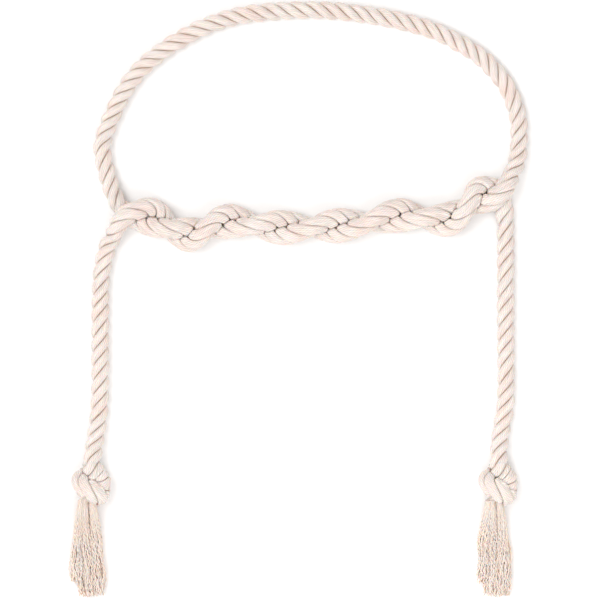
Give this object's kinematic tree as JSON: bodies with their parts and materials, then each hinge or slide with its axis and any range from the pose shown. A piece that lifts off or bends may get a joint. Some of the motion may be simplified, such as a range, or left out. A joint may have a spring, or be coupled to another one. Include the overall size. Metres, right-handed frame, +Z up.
{
  "type": "rope belt",
  "caption": "Soft cotton rope belt lying flat: a waist loop whose ends wrap round each other along the front and hang as straight tails with tight knots and frayed tassels.",
  "frame": {"origin": "on the floor plane that the belt lies on, under the centre of its whole outline seen from above", "axes": "+Z up from the floor, -Y from the waist loop towards the tassels, +X to the right seen from above"},
  "size_m": [0.3099, 0.4026, 0.0242],
  "materials": {
    "cotton_rope": "soft matt laid cotton",
    "frayed_yarn": "loose crimped cotton yarn"
  },
  "bodies": {
    "root": {"waist_loop": "cotton_rope", "front_run_left": "cotton_rope", "front_run_right": "cotton_rope", "left_tail": "cotton_rope", "right_tail": "cotton_rope", "left_knot": "cotton_rope", "right_knot": "cotton_rope", "left_tassel": "frayed_yarn", "right_tassel": "frayed_yarn"}
  },
  "joints": []
}
